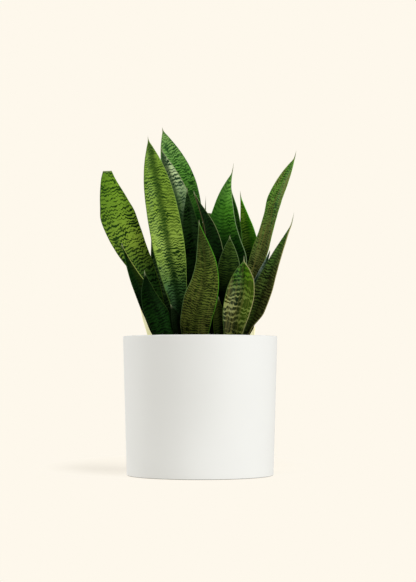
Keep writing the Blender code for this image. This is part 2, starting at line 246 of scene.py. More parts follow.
class BladeSettings(bpy.types.PropertyGroup):
    spacing: FloatProperty(
        name="Mesh Spacing", description="Distance between rows of faces along a leaf", unit="LENGTH",
        default=2.4 * MM, min=0.5 * MM)
    columns: IntProperty(name="Columns", description="Points across one face of a leaf", default=25, min=9)
    ripple: FloatProperty(
        name="Margin Ripple", description="How far the margins wave", unit="LENGTH", default=0.45 * MM, min=0)
    ripple_length: FloatProperty(
        name="Ripple Length", description="Length of one wave of the margin", unit="LENGTH", default=34 * MM)
    rib_depth: FloatProperty(
        name="Midrib Depth", description="Depth of the channel along the midrib", unit="LENGTH", default=0.6 * MM)
    rib_width: FloatProperty(
        name="Midrib Width", description="Half of that channel's width", unit="LENGTH", default=2.6 * MM)
    margin: FloatProperty(
        name="Margin", description="Width of the pale line along the margin", unit="LENGTH", default=0.8 * MM)


class SoilSettings(bpy.types.PropertyGroup):
    grain: FloatProperty(
        name="Crumb Size", description="Typical width of a crumb of peat", unit="LENGTH", default=2.2 * MM)
    chip: FloatProperty(
        name="Bark Size", description="Typical width of a chip of bark", unit="LENGTH", default=6.5 * MM)
    clearance: FloatProperty(
        name="Clearance", description="Bare gap kept round the leaves", unit="LENGTH", default=1.2 * MM)
    seed: IntProperty(name="Seed", description="Changes how the crumbs fall", default=7)


class StageSettings(bpy.types.PropertyGroup):
    backdrop: FloatVectorProperty(
        name="Backdrop", description="Colour of the backdrop and the floor", subtype="COLOR", size=3,
        default=linear("FEF8EC"), min=0, max=1)
    distance: FloatProperty(
        name="Camera Distance", description="From the planter's middle to the camera", unit="LENGTH", default=2.05)
    height: FloatProperty(name="Camera Height", description="Above the floor", unit="LENGTH", default=0.1337)
    key: FloatProperty(name="Key Light", description="Strength of the light from the right", default=1.98, min=0)
    fill: FloatProperty(name="Fill Light", description="Strength of the light from the left", default=1.45, min=0)
    bounce: FloatProperty(name="Bounce", description="Watts thrown back by a card on the floor", default=0.01, min=0)


class SnakePlantSettings(bpy.types.PropertyGroup):
    planter: PointerProperty(type=PlanterSettings, name="Planter")
    blades: PointerProperty(type=BladeSettings, name="Leaves")
    soil: PointerProperty(type=SoilSettings, name="Soil")
    stage: PointerProperty(type=StageSettings, name="Stage")


# ---------------------------------------------------------------------------------------------
# Nodes
# ---------------------------------------------------------------------------------------------


def add_node(tree, kind, inputs=(), **settings):
    """Adds a node with its settings. inputs are its shown sockets' values, in order or by name.

    A value that is a node or an output socket is linked; None leaves the socket as it is.
    """
    node = tree.nodes.new(kind)
    for name, value in settings.items():
        setattr(node, name, value)
    shown = [socket for socket in node.inputs if socket.enabled]
    if isinstance(inputs, dict):
        pairs = [(next(s for s in shown if s.name == name), value) for name, value in inputs.items()]
    else:
        pairs = list(zip(shown, inputs, strict=False))
    for socket, value in pairs:
        if isinstance(value, bpy.types.Node):
            value = next(output for output in value.outputs if output.enabled)
        if isinstance(value, bpy.types.NodeSocket):
            tree.links.new(value, socket)
        elif value is not None:
            socket.default_value = value
    return node


def new_material(name):
    """A Principled material; returns it with its tree and its shader."""
    material = bpy.data.materials.new(name)
    material.use_nodes = True
    return material, material.node_tree, material.node_tree.nodes["Principled BSDF"]


def object_place(tree):
    """The place on the object, in mm."""
    place = add_node(tree, "ShaderNodeTexCoord").outputs["Object"]
    return add_node(tree, "ShaderNodeVectorMath", {"Vector": place, "Scale": 1 / MM}, operation="SCALE")


def leaf_place(tree):
    """The place on a leaf in mm: across from the midrib, and along from the soil."""
    metres = add_node(tree, "ShaderNodeUVMap", uv_map="blade")
    return add_node(tree, "ShaderNodeVectorMath", {"Vector": metres, "Scale": 1 / MM}, operation="SCALE")


def blotches(tree, place, across, along, seed, detail=2.0):
    """Soft blotches of this size in mm, from 0 to 1, on a place given in mm."""
    at = add_node(tree, "ShaderNodeMapping", {
        "Vector": place, "Location": (seed * 3.7, seed * 1.9, seed * 5.3),
        "Scale": (1 / across, 1 / along, 1 / across)})
    return add_node(tree, "ShaderNodeTexNoise", {"Vector": at, "Scale": 1.0, "Detail": detail})


def ramp(tree, share, codes):
    """A colour that changes with a 0 to 1 share, evenly through the hex codes."""
    node = add_node(tree, "ShaderNodeValToRGB", [share])
    stops = node.color_ramp.elements
    while len(stops) < len(codes):
        stops.new(1.0)
    for index, code in enumerate(codes):
        stops[index].position = index / (len(codes) - 1)
    for stop, code in zip(stops, codes):
        stop.color = colour(code)
    return node


def node_group(name, sockets):
    """A geometry tree with its named inputs: (name, socket type, default)."""
    tree = bpy.data.node_groups.new(name, "GeometryNodeTree")
    tree.interface.new_socket("Geometry", in_out="INPUT", socket_type="NodeSocketGeometry")
    for label, kind, default in sockets:
        socket = tree.interface.new_socket(label, in_out="INPUT", socket_type=kind)
        if default is not None:
            socket.default_value = default
    tree.interface.new_socket("Geometry", in_out="OUTPUT", socket_type="NodeSocketGeometry")
    return tree, tree.nodes.new("NodeGroupInput").outputs


def run_tree(obj, tree, values):
    """Runs a geometry tree on an object and keeps the result as its plain mesh."""
    modifier = obj.modifiers.new(tree.name, "NODES")
    modifier.node_group = tree
    for item in tree.interface.items_tree:
        if item.in_out == "INPUT" and item.name in values:
            modifier[item.identifier] = values[item.name]
    graph = bpy.context.evaluated_depsgraph_get()
    made = bpy.data.meshes.new_from_object(obj.evaluated_get(graph))
    made.name = obj.name
    obj.modifiers.remove(modifier)
    old = obj.data
    obj.data = made
    bpy.data.meshes.remove(old)
    return obj


# ---------------------------------------------------------------------------------------------
# Pieces
# ---------------------------------------------------------------------------------------------


def add_piece(name, mesh):
    obj = bpy.data.objects.new(name, mesh)
    bpy.context.scene.collection.objects.link(obj)
    return obj


def stand_for(piece, node):
    """The piece rides with the plant and is shown instead of the frame node."""
    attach(piece, "root")
    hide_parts(node)


def frame_points(node):
    """The places of a frame node's points, as rows of an array."""
    mesh = frame["nodes"][node].data
    places = np.empty(len(mesh.vertices) * 3)
    mesh.vertices.foreach_get("co", places)
    return places.reshape(-1, 3)


def outward(mesh):
    """Turns all faces of a closed mesh outwards, after merging what its seams doubled."""
    shape = bmesh.new()
    shape.from_mesh(mesh)
    bmesh.ops.remove_doubles(shape, verts=shape.verts, dist=WELD)
    bmesh.ops.recalc_face_normals(shape, faces=shape.faces)
    loose = [edge for edge in shape.edges if len(edge.link_faces) != 2]
    if loose:
        raise RuntimeError(f"{mesh.name} is not closed: {len(loose)} edges have no two faces")
    shape.to_mesh(mesh)
    shape.free()


# ---------------------------------------------------------------------------------------------
# Planter
# ---------------------------------------------------------------------------------------------

# Radius of the round where the inner wall meets the floor
FLOOR_ROUND = 3 * MM

# The glaze stops at this share of the base's round, above the underside. The bare clay below is dark, as
# painted shade along the base's contact line.
BARE_SHARE = 0.3

# Turned edges that are sharper than this keep a crisp line
SHARP_ANGLE = math.radians(35)

# Widths in mm of the glaze's clouds, of its pits, and of the fade into bare clay. Real pits are
# finer, and are drawn as coarse as they need to show.
GLAZE_CLOUD = 55
GLAZE_PIT = 1.6
BARE_FADE = 0.3

# How much darker the glaze gets in its clouds, and the roughness that it varies between
CLOUD_TONE = 0.975
GLAZE_ROUGHNESS = (0.5, 0.62)


def lathe_tree():
    """Turns a profile line about Z. Its corners are rounded by their own `rounding` attribute."""
    tree, given = node_group("lathe", [
        ("Sides", "NodeSocketInt", 192), ("Corner Steps", "NodeSocketInt", 6),
        ("Material", "NodeSocketMaterial", None)])
    line = add_node(tree, "GeometryNodeMeshToCurve", {"Mesh": given["Geometry"]})
    radius = add_node(tree, "GeometryNodeInputNamedAttribute", {"Name": "rounding"}, data_type="FLOAT")
    line = add_node(tree, "GeometryNodeFilletCurve", {
        "Curve": line, "Count": given["Corner Steps"], "Radius": radius, "Limit Radius": True}, mode="POLY")
    size = add_node(tree, "GeometryNodeAttributeDomainSize", {"Geometry": line}, component="CURVE")
    count = size.outputs["Point Count"]
    columns = add_node(tree, "ShaderNodeMath", [given["Sides"], 1], operation="ADD")
    grid = add_node(tree, "GeometryNodeMeshGrid", {"Vertices X": columns, "Vertices Y": count})
    index = add_node(tree, "GeometryNodeInputIndex")
    column = add_node(tree, "ShaderNodeMath", [index, count], operation="DIVIDE")
    column = add_node(tree, "ShaderNodeMath", [column], operation="FLOOR")
    row = add_node(tree, "ShaderNodeMath", [index, count], operation="MODULO")
    position = add_node(tree, "GeometryNodeInputPosition")
    place = add_node(tree, "GeometryNodeSampleIndex", {
        "Geometry": line, "Value": position, "Index": row}, data_type="FLOAT_VECTOR", domain="POINT")
    turn = add_node(tree, "ShaderNodeMath", [column, given["Sides"]], operation="DIVIDE")
    turn = add_node(tree, "ShaderNodeMath", [turn, math.tau], operation="MULTIPLY")
    place = add_node(tree, "ShaderNodeVectorRotate", {"Vector": place, "Angle": turn}, rotation_type="Z_AXIS")
    shape = add_node(tree, "GeometryNodeSetPosition", {"Geometry": grid.outputs["Mesh"], "Position": place})
    shape = add_node(tree, "GeometryNodeMergeByDistance", {"Geometry": shape, "Distance": WELD})
    shape = add_node(tree, "GeometryNodeRealizeInstances", [shape])
    shape = add_node(tree, "GeometryNodeSetMaterial", {"Geometry": shape, "Material": given["Material"]})
    add_node(tree, "NodeGroupOutput", [shape])
    return tree


def turned(name, corners, sides, material):
    """A closed body of revolution through (radius, height, rounding) corners."""
    mesh = bpy.data.meshes.new(name)
    mesh.from_pydata(
        [(radius, 0, height) for radius, height, _ in corners],
        [(index, index + 1) for index in range(len(corners) - 1)], [])
    rounding = mesh.attributes.new("rounding", "FLOAT", "POINT")
    rounding.data.foreach_set("value", [corner[2] for corner in corners])
    tree = bpy.data.node_groups.get("lathe") or lathe_tree()
    piece = run_tree(add_piece(name, mesh), tree, {"Sides": sides, "Material": material})
    outward(piece.data)
    piece.data.shade_smooth()
    piece.data.set_sharp_from_angle(angle=SHARP_ANGLE)
    return piece


def matte_glaze(settings, foot_height):
    """Slip-cast stoneware under a matte white glaze: an even, chalky white that hardly shines.

    The glaze lies very slightly uneven, and stops just above the foot, where bare clay shows. The clay is
    coloured dark as painted shade along the base's contact line.
    """
    material, tree, shader = new_material("matte_white_glaze_on_stoneware")
    place = object_place(tree)
    cloud = blotches(tree, place, GLAZE_CLOUD, GLAZE_CLOUD, 1)
    pits = blotches(tree, place, GLAZE_PIT, GLAZE_PIT, 2, 3.0)
    darker = [value * CLOUD_TONE for value in settings.glaze]
    glaze = add_node(tree, "ShaderNodeMix", {
        "Factor": cloud, "A": (*settings.glaze, 1), "B": (*darker, 1)}, data_type="RGBA")
    height = add_node(tree, "ShaderNodeSeparateXYZ", [place]).outputs["Z"]
    edge = foot_height / MM
    # below the glaze's edge: bare clay, dark as painted shade of the base's contact line
    bare = add_node(tree, "ShaderNodeMapRange", [height, edge, edge + BARE_FADE, 1.0, 0.0])
    body = add_node(tree, "ShaderNodeMix", {"Factor": bare, "A": glaze, "B": (*settings.foot, 1)}, data_type="RGBA")
    tree.links.new(body.outputs[2], shader.inputs["Base Color"])
    rough = add_node(tree, "ShaderNodeMapRange", [pits, 0.3, 0.7, *GLAZE_ROUGHNESS])
    tree.links.new(rough.outputs[0], shader.inputs["Roughness"])
    relief = add_node(tree, "ShaderNodeMath", [cloud, 2.0, pits], operation="MULTIPLY_ADD")
    bump = add_node(tree, "ShaderNodeBump", {"Height": relief, "Strength": 0.12, "Distance": 0.06 * MM})
    tree.links.new(bump.outputs[0], shader.inputs["Normal"])
    shader.inputs["Specular IOR Level"].default_value = 0.35
    return material


class SNAKEPLANT_OT_planter(bpy.types.Operator):
    """Turns the planter: a closed cup with a rounded rim and a small round at its base"""
    bl_idname = "snake_plant.planter"
    bl_label = "Turn Planter"

    def execute(self, context):
        settings = context.scene.snake_plant.planter
        places = frame_points("planter")
        radii = np.hypot(places[:, 0], places[:, 1])
        heights = places[:, 2]
        height, top_radius = heights.max(), radii.max()
        floor = heights[(heights > END_ZONE) & (heights < height / 2)].min()
        base_radius = radii[heights < END_ZONE].max()
        inner_floor = radii[abs(heights - floor) < WELD].max()
        inner_top = radii[heights > height - END_ZONE].min()
        rim, base = settings.rim_round, settings.base_round
        corners = [
            (0, floor, 0), (inner_floor, floor, FLOOR_ROUND), (inner_top, height, rim), (top_radius, height, rim),
            (base_radius, 0, base), (0, 0, 0)]
        piece = turned("planter_cup", corners, settings.turns, matte_glaze(settings, base * BARE_SHARE))
        stand_for(piece, "planter")
        return {"FINISHED"}


# ---------------------------------------------------------------------------------------------
# Leaves
# ---------------------------------------------------------------------------------------------

Spine = namedtuple("Spine", "times centres halves depths bows end apex")

# Rows of points along the dry thread at a leaf's tip
THREAD_ROWS = 5

# Below 1, this power rounds a fine leaf's margins, which the frame's has sharp
MARGIN_ROUND = 0.6

# Where drying starts and where it is full, from the blade's end: in a trimmed top, and at a thread
DRY_TRIM = (-1.4 * MM, -0.6 * MM)
DRY_THREAD = (-3.5 * MM, 1.5 * MM)

# How steeply the margins' waves die away towards the midrib, and between which shares of the
# length a leaf's relief fades out before its tip
RIPPLE_POWER = 2.5
TIP_CALM = (0.8, 0.98)

# The noise that draws the zigzags seldom leaves its middle third, and is stretched by this
ZIGZAG_REACH = 2.6

# How much the wave, each broken pattern and a look's share say in where a cross-band lies
WAVE_PULL = 0.68
STROKE_PULL = 4.9
PATCH_PULL = 1.6
SPECKLE_PULL = 2.4
SHARE_PULL = 2.2

# Colours that the leaves share: the silvery wax sheen, which is painted reflection and partly the wax's own
# haze, lengthwise lines and dried tips
WAX_SHEEN = "9DB8A6"
OLIVE = "7E7A40"
DRY_BROWN = "8A9470"

# The wax shines faintly and green. Its roughness lies between these two.
LEAF_SHINE = 0.07
LEAF_SHINE_TINT = "8CD07C"
LEAF_ROUGHNESS = (0.36, 0.5)

# How strongly a sheath glows, for the light that passes through it
SHEATH_GLOW = 0.75


def next_ring(ring):
    """The points that the given ring is joined to and that come after it along the leaf."""
    found = set()
    for vert in ring:
        for edge in vert.link_edges:
            other = edge.other_vert(vert)
            if not other.tag:
                found.add(other)
    return found


def in_order(ring):
    """A ring's points in their order round the leaf. Edges across an end cap don't count."""
    neighbours = {}
    for vert in ring:
        beside = []
        for edge in vert.link_edges:
            other = edge.other_vert(vert)
            if other in ring and any(set(face.verts) - ring for face in edge.link_faces):
                beside.append(other)
        neighbours[vert] = beside
    start = min(ring, key=lambda vert: (round(vert.co.x, 6), vert.co.y))
    order = [start]
    while len(order) < len(ring):
        order.append(next(vert for vert in neighbours[order[-1]] if vert not in order))
    return [vert.co.copy() for vert in order]


def aligned(ring, like):
    """The ring turned, and reversed if need be, to run beside the one before it."""
    middle = sum(ring, Vector()) / len(ring)
    like_middle = sum(like, Vector()) / len(like)
    best, least = None, math.inf
    for way in (ring, ring[::-1]):
        for shift in range(len(ring)):
            tried = way[shift:] + way[:shift]
            apart = sum(((a - middle) - (b - like_middle)).length for a, b in zip(tried, like))
            if apart < least:
                best, least = tried, apart
    return best


def from_left_margin(ring):
    """A ring that starts at its left margin and runs along the front first (the front faces -Y)."""
    half = SECTION_POINTS // 2
    start = max(range(half), key=lambda index: (ring[index] - ring[index + half]).length)
    if ring[start].x > ring[start + half].x:
        start += half
    ring = ring[start:] + ring[:start]
    if ring[half // 2].y > ring[half + half // 2].y:
        ring = ring[:1] + ring[:0:-1]
    return ring


def leaf_rings(node):
    """The frame leaf's cross-sections from the buried foot to the tip, and its end point or None."""
    shape = bmesh.new()
    shape.from_mesh(frame["nodes"][node].data)
    bmesh.ops.remove_doubles(shape, verts=shape.verts, dist=WELD)
    lowest = min(vert.co.z for vert in shape.verts)
    layer = {vert for vert in shape.verts if vert.co.z < lowest + WELD}
    rings, apex = [], None
    while layer:
        for vert in layer:
            vert.tag = True
        if len(layer) == 1:
            apex = layer.pop().co.copy()
            break
        if len(layer) != SECTION_POINTS:
            raise RuntimeError(f"{node} has a section with {len(layer)} points")
        rings.append(in_order(layer))
        layer = next_ring(layer)
    shape.free()
    rings[1] = from_left_margin(rings[1])
    rings[0] = aligned(rings[0], rings[1])
    for index in range(2, len(rings)):
        rings[index] = aligned(rings[index], rings[index - 1])
    return np.array(rings), apex


def even_slopes(times, values):
    """Slopes at each time for a smooth curve through the values."""
    slopes = np.empty_like(values)
    steps = np.diff(times).reshape(-1, *[1] * (values.ndim - 1))
    rises = np.diff(values, axis=0) / steps
    slopes[1:-1] = (values[2:] - values[:-2]) / (steps[1:] + steps[:-1])
    slopes[0], slopes[-1] = rises[0], rises[-1]
    return slopes


def careful_slopes(times, values):
    """Slopes for a curve that never swings past its values, for widths and thicknesses."""
    steps = np.diff(times)
    rises = np.diff(values) / steps
    slopes = np.zeros_like(values)
    for index in range(1, len(values) - 1):
        before, after = rises[index - 1], rises[index]
        if before * after > 0:
            slopes[index] = 2 * before * after / (before + after)
    slopes[0], slopes[-1] = rises[0], rises[-1]
    return slopes


def curve_at(times, values, slopes, at):
    """Values of the cubic curve with these slopes at new times."""
    index = np.clip(np.searchsorted(times, at, side="right") - 1, 0, len(times) - 2)
    span = times[index + 1] - times[index]
    share = (at - times[index]) / span
    shape = (-1,) + (1,) * (values.ndim - 1)
    share, span = share.reshape(shape), span.reshape(shape)
    cubed, squared = share**3, share**2
    return (
        values[index] * (2 * cubed - 3 * squared + 1) + slopes[index] * span * (cubed - 2 * squared + share)
        + values[index + 1] * (3 * squared - 2 * cubed) + slopes[index + 1] * span * (cubed - squared)
    )


def blade_spine(node):
    """What the frame leaf's sections give at their distances (times) from the buried foot.

    centres are the sections' middles, halves half of their widths and depths their thicknesses at
    the midrib. bows says how each one bends, in half widths, at the places that SECTION lists.
    end is where the blade ends; a dry thread may go on from there to the apex.
    """
    rings, apex = leaf_rings(node)
    depths = np.linalg.norm(rings[:, 1] - rings[:, 7], axis=1) / (1 - SECTION[3] ** THINNING)
    fronts = rings[:, 2] - rings[:, 6]
    fronts /= np.linalg.norm(fronts, axis=1)[:, None]
    centres = rings[:, 6] + fronts * depths[:, None] / 2
    halves = np.linalg.norm(rings[:, 4] - rings[:, 0], axis=1) / 2
    middles = np.stack([
        rings[:, 0], (rings[:, 1] + rings[:, 7]) / 2, centres, (rings[:, 3] + rings[:, 5]) / 2, rings[:, 4]], 1)
    bows = (middles - centres[:, None]) / halves[:, None, None]
    if apex is not None:
        centres = np.vstack([centres, apex])
        halves, depths = np.append(halves, 0.0), np.append(depths, 0.0)
        bows = np.concatenate([bows, bows[-1:]])
    times = np.concatenate([[0], np.cumsum(np.linalg.norm(np.diff(centres, axis=0), axis=1))])
    end = times[-1] if apex is None else times[-2]
    return Spine(times, centres, halves, depths, bows, end, apex)


def row_distances(spine, spacing):
    """The distances from the foot at which the fine leaf has its rows of points."""
    at = np.linspace(0, spine.end, math.ceil(spine.end / spacing) + 1)
    if spine.apex is None:
        return at
    return np.concatenate([at, np.linspace(spine.end, spine.times[-1], THREAD_ROWS + 2)[1:-1]])


def blade_surface(spine, at, places):
    """A leaf's middle surface, the step from there to its front, its facing and its half width.

    Rows run along the leaf, at the distances in `at`, and columns across it, at the shares in
    `places`, from -1 to 1.
    """
    times = spine.times
    centre = curve_at(times, spine.centres, even_slopes(times, spine.centres), at)
    width = curve_at(times, spine.halves, careful_slopes(times, spine.halves), at)
    depth = curve_at(times, spine.depths, careful_slopes(times, spine.depths), at) / 2
    bow = curve_at(times, spine.bows, even_slopes(times, spine.bows), at)
    through = np.vander(places, len(SECTION)) @ np.linalg.inv(np.vander(SECTION, len(SECTION)))
    middle = centre[:, None] + width[:, None, None] * np.einsum("ps,ksx->kpx", through, bow)
    facing = np.cross(np.gradient(middle, places, axis=1), np.gradient(middle, at, axis=0))
    facing /= np.linalg.norm(facing, axis=2)[:, :, None]
    body = depth[:, None, None] * ((1 - places**THINNING) ** MARGIN_ROUND)[None, :, None] * facing
    return middle, body, facing, width


def dryness(at, spine):
    """1 on the dry thread beyond the blade, or in the last of a trimmed top, and 0 on the rest."""
    start, end = DRY_TRIM if spine.apex is None else DRY_THREAD
    start, end = spine.end + start, spine.end + end
    return ((at - start) / (end - start)).clip(0, 1)


def loft_faces(rows, around, pointed):
    """Faces of a closed body whose rows of points run round it, to one more point if it is pointed."""
    faces = []
    for row in range(rows - 1):
        for column in range(around):
            after = (column + 1) % around
            faces.append((row * around + column, row * around + after,
                          (row + 1) * around + after, (row + 1) * around + column))
    faces.append(tuple(range(around))[::-1])
    last = (rows - 1) * around
    if pointed:
        faces += [(last + column, last + (column + 1) % around, last + around) for column in range(around)]
    else:
        faces.append(tuple(range(last, last + around)))
    return faces


def blade_mesh(name, node, settings):
    """A fine closed leaf through the frame leaf's sections.

    Its map `blade` holds metres across from the midrib and along from the soil. `across` runs
    from -1 to 1, `along` from 0 at the soil to 1 at the tip, `edge` is the distance to the margin,
    `dry` is 1 where the tip has dried, and `facing` is the direction of the leaf's front.
    """
    spine = blade_spine(node)
    at = row_distances(spine, settings.spacing)
    places = np.sin(np.linspace(-math.pi / 2, math.pi / 2, settings.columns))
    middle, body, facing, width = blade_surface(spine, at, places)
    # once round a section: along the front from the left margin, and back behind it
    order = [*range(len(places)), *range(len(places) - 2, 0, -1)]
    side = np.array([1.0] * len(places) + [-1.0] * (len(places) - 2))
    grid = middle[:, order] + body[:, order] * side[None, :, None]

    rows, around = grid.shape[:2]
    soil = spine.times[1]
    columns = {
        "across": np.broadcast_to(places[order], (rows, around)),
        "along": np.broadcast_to(((at - soil) / (spine.end - soil))[:, None], (rows, around)).clip(0, 1),
        "edge": width[:, None] * (1 - abs(places[order]))[None, :],
        "dry": np.broadcast_to(dryness(at, spine)[:, None], (rows, around)),
    }
    columns = {key: value.reshape(-1) for key, value in columns.items()}
    metres = np.stack([
        width[:, None] * places[order][None, :],
        np.broadcast_to((at - soil)[:, None], (rows, around))], 2).reshape(-1, 2)
    points, directions = grid.reshape(-1, 3), facing[:, order].reshape(-1, 3)
    pointed = spine.apex is not None
    if pointed:
        points = np.vstack([points, spine.apex])
        directions = np.vstack([directions, directions[-1]])
        metres = np.vstack([metres, (0, spine.times[-1] - soil)])
        columns = {key: np.append(value, value[-1]) for key, value in columns.items()}

    mesh = bpy.data.meshes.new(name)
    mesh.from_pydata(points.tolist(), [], loft_faces(rows, around, pointed))
    for key, value in columns.items():
        mesh.attributes.new(key, "FLOAT", "POINT").data.foreach_set("value", value)
    mesh.attributes.new("facing", "FLOAT_VECTOR", "POINT").data.foreach_set("vector", directions.ravel())
    corners = np.empty(len(mesh.loops), dtype=int)
    mesh.loops.foreach_get("vertex_index", corners)
    mesh.uv_layers.new(name="blade").uv.foreach_set("vector", metres[corners].ravel())
    shape = bmesh.new()
    shape.from_mesh(mesh)
    bmesh.ops.recalc_face_normals(shape, faces=shape.faces)
    shape.to_mesh(mesh)
    shape.free()
    mesh.shade_smooth()
    return mesh


def relief_tree():
    """Waves a leaf's margins and sinks its midrib, front and back together."""
    tree, given = node_group("leaf_relief", [
        ("Ripple", "NodeSocketFloat", 0.45 * MM), ("Ripple Length", "NodeSocketFloat", 34 * MM),
        ("Rib Depth", "NodeSocketFloat", 0.6 * MM), ("Rib Width", "NodeSocketFloat", 2.6 * MM),
        ("Seed", "NodeSocketFloat", 0.0), ("Material", "NodeSocketMaterial", None)])
    named = {}
    for name, kind in (("across", "FLOAT"), ("along", "FLOAT"), ("edge", "FLOAT"),
                       ("facing", "FLOAT_VECTOR"), ("blade", "FLOAT_VECTOR")):
        named[name] = add_node(tree, "GeometryNodeInputNamedAttribute", {"Name": name}, data_type=kind)
    metres = add_node(tree, "ShaderNodeSeparateXYZ", [named["blade"]])
    side = add_node(tree, "ShaderNodeMath", [named["across"]], operation="SIGN")
    waves = add_node(tree, "ShaderNodeMath", [metres.outputs["Y"], given["Ripple Length"]], operation="DIVIDE")
    where = add_node(tree, "ShaderNodeCombineXYZ", [side, waves, given["Seed"]])
    noise = add_node(tree, "ShaderNodeTexNoise", {"Vector": where, "Scale": 1.7, "Detail": 1.0})
    wave = add_node(tree, "ShaderNodeMapRange", [noise, 0.25, 0.75, -1.0, 1.0])
    out = add_node(tree, "ShaderNodeMath", [named["across"]], operation="ABSOLUTE")
    out = add_node(tree, "ShaderNodeMath", [out, RIPPLE_POWER], operation="POWER")
    wave = add_node(tree, "ShaderNodeMath", [wave, out], operation="MULTIPLY")
    wave = add_node(tree, "ShaderNodeMath", [wave, given["Ripple"]], operation="MULTIPLY")
    beside = add_node(tree, "ShaderNodeMath", [metres.outputs["X"], given["Rib Width"]], operation="DIVIDE")
    beside = add_node(tree, "ShaderNodeMath", [beside, beside], operation="MULTIPLY")
    channel = add_node(tree, "ShaderNodeMath", [math.exp(-1), beside], operation="POWER")
    channel = add_node(tree, "ShaderNodeMath", [channel, given["Rib Depth"]], operation="MULTIPLY")
    depth = add_node(tree, "ShaderNodeMath", [wave, channel], operation="SUBTRACT")
    tip = add_node(tree, "ShaderNodeMapRange", [named["along"], *TIP_CALM, 1.0, 0.0])
    depth = add_node(tree, "ShaderNodeMath", [depth, tip], operation="MULTIPLY")
    offset = add_node(tree, "ShaderNodeVectorMath", {"Vector": named["facing"], "Scale": depth}, operation="SCALE")
    shape = add_node(tree, "GeometryNodeSetPosition", {"Geometry": given["Geometry"], "Offset": offset})
    shape = add_node(tree, "GeometryNodeRealizeInstances", [shape])
    shape = add_node(tree, "GeometryNodeSetMaterial", {"Geometry": shape, "Material": given["Material"]})
    add_node(tree, "NodeGroupOutput", [shape])
    return tree


def cross_bands(tree, place, flat, across, style):
    """The cover of the dark cross-bands, from 0 to 1, and the fine speckle that frays their edges.

    They are a wave along the leaf, bent slowly, in small zigzags, and in a V at the midrib. place
    is the map in mm, and flat its parts.
    """
    patch = blotches(tree, place, 15, 22, style.seed)
    drift = blotches(tree, place, 20, 26, style.seed + 31, 1.0)
    zigzag = blotches(tree, place, 3.2, 14, style.seed + 57, 1.0)
    out = add_node(tree, "ShaderNodeMath", [across], operation="ABSOLUTE")
    bent = add_node(tree, "ShaderNodeMath", [drift, style.wander, flat.outputs["Y"]], operation="MULTIPLY_ADD")
    bent = add_node(tree, "ShaderNodeMath", [zigzag, ZIGZAG_REACH * style.jag, bent], operation="MULTIPLY_ADD")
    bent = add_node(tree, "ShaderNodeMath", [out, style.chevron, bent], operation="MULTIPLY_ADD")
    phase = add_node(tree, "ShaderNodeMath", [bent, math.tau / style.spacing], operation="MULTIPLY")
    wave = add_node(tree, "ShaderNodeMath", [phase], operation="SINE")
    # short strokes that follow the same bends break the waves up
    bent_place = add_node(tree, "ShaderNodeCombineXYZ", [flat.outputs["X"], bent])
    strokes = blotches(tree, bent_place, 2.4 * style.spacing, 0.5 * style.spacing, style.seed + 41)
    speckle = blotches(tree, place, 3.2, 1.3, style.seed + 83, 3.0)
    level = add_node(tree, "ShaderNodeMath", [speckle, SPECKLE_PULL], operation="MULTIPLY")
    level = add_node(tree, "ShaderNodeMath", [wave, WAVE_PULL, level], operation="MULTIPLY_ADD")
    level = add_node(tree, "ShaderNodeMath", [strokes, STROKE_PULL, level], operation="MULTIPLY_ADD")
    level = add_node(tree, "ShaderNodeMath", [patch, PATCH_PULL, level], operation="MULTIPLY_ADD")
    # the wave swings round 0, and the other three round a half
    turn = (SPECKLE_PULL + STROKE_PULL + PATCH_PULL) / 2 + SHARE_PULL * (0.5 - style.share)
    band = add_node(tree, "ShaderNodeMapRange", [level, turn - 3 * style.soft, turn + 3 * style.soft, 0.0, 1.0],
                    interpolation_type="SMOOTHSTEP")
    # in places the bands are faint
    clear = blotches(tree, place, 11, 19, style.seed + 67, 1.0)
    clear = add_node(tree, "ShaderNodeMapRange", [clear, 0.36, 0.58, style.faint, 1.0])
    return add_node(tree, "ShaderNodeMath", [band, clear], operation="MULTIPLY"), speckle


def painted_side_light_and_sheen(tree, skin, place, share, band, style):
    """The skin under its painted side light and shade (one side lighter or darker as light falls on it) and its
    silvery wax sheen, which is painted reflection and partly the wax's own haze; both are weaker on the bands
    and at the foot.
    """
    # patches of the silvery sheen: painted reflection, partly the wax's own haze
    sheen_patches = blotches(tree, place, 7, 24, style.seed + 19)
    sheen_bloom_side, sheen_bloom_strength = style.bloom
    # the first pass paints one side lighter or darker as light falls on it, and the second paints the sheen's
    # reflection
    for (side, code, strength), grain in ((style.flank, None), ((sheen_bloom_side, WAX_SHEEN, sheen_bloom_strength), sheen_patches)):
        if not strength:
            continue
        if side:
            cover = add_node(tree, "ShaderNodeMapRange", [share["across"], -0.15 * side, 0.45 * side, 0.0, strength])
        else:
            cover = add_node(tree, "ShaderNodeMapRange", [share["across"], -1.0, 1.0, strength, strength])
        if grain:
            amount = add_node(tree, "ShaderNodeMapRange", [grain, 0.35, 0.6, 0.0, 1.0])
            cover = add_node(tree, "ShaderNodeMath", [cover, amount], operation="MULTIPLY")
        keep = add_node(tree, "ShaderNodeMapRange", [band, 0.0, 1.0, 1.0, 0.45])
        cover = add_node(tree, "ShaderNodeMath", [cover, keep], operation="MULTIPLY")
        foot = add_node(tree, "ShaderNodeMapRange", [share["along"], 0.12, 0.4, 0.25, 1.0])
        cover = add_node(tree, "ShaderNodeMath", [cover, foot], operation="MULTIPLY")
        skin = add_node(tree, "ShaderNodeMix", {"Factor": cover, "A": skin.outputs[2], "B": colour(code)},
                        data_type="RGBA")
    return skin


